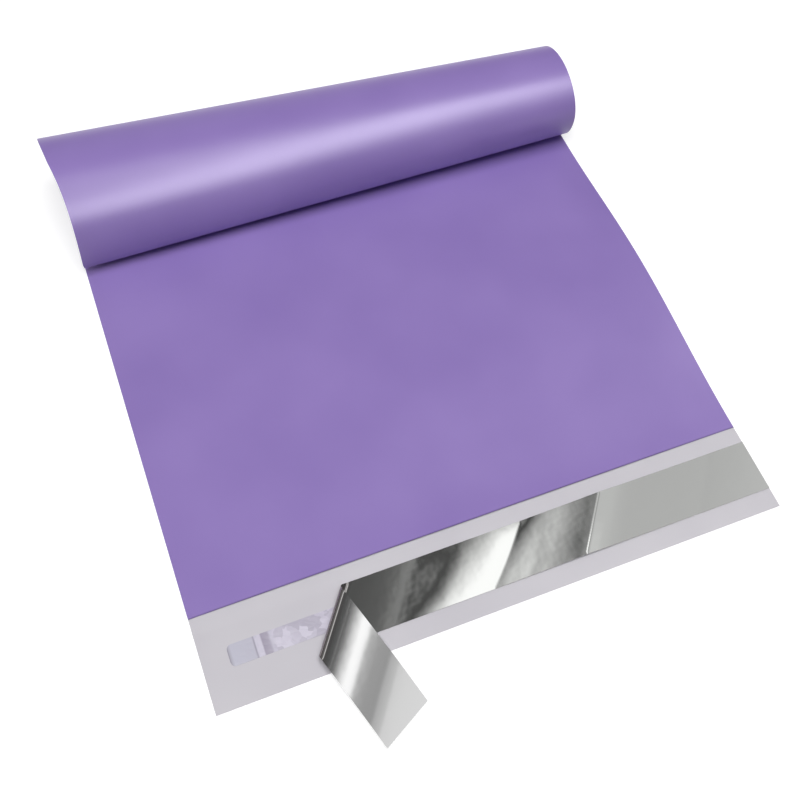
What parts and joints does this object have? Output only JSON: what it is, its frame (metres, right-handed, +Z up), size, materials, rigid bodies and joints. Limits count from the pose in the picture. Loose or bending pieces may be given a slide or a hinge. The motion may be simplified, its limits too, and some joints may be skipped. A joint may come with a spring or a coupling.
{
  "type": "poly mailer bag",
  "caption": "Thin-film mailer bag lying flat, its closed end rolled forward over itself, with a self-seal lip, an adhesive strip and a release liner peeled back at its left end.",
  "frame": {"origin": "on the table, under the middle of the flat front panel", "axes": "+X along the mouth towards the stuck end of the release liner, +Y from the lip towards the roll, +Z up"},
  "size_m": [0.252, 0.3113, 0.0463],
  "materials": {
    "violet_film": "satin",
    "clear_adhesive": "tacky, wrinkled",
    "silver_film": "metallised film"
  },
  "bodies": {
    "root": {"mailer_bag": "violet_film", "adhesive_strip": "clear_adhesive", "release_liner": "silver_film"}
  },
  "joints": []
}
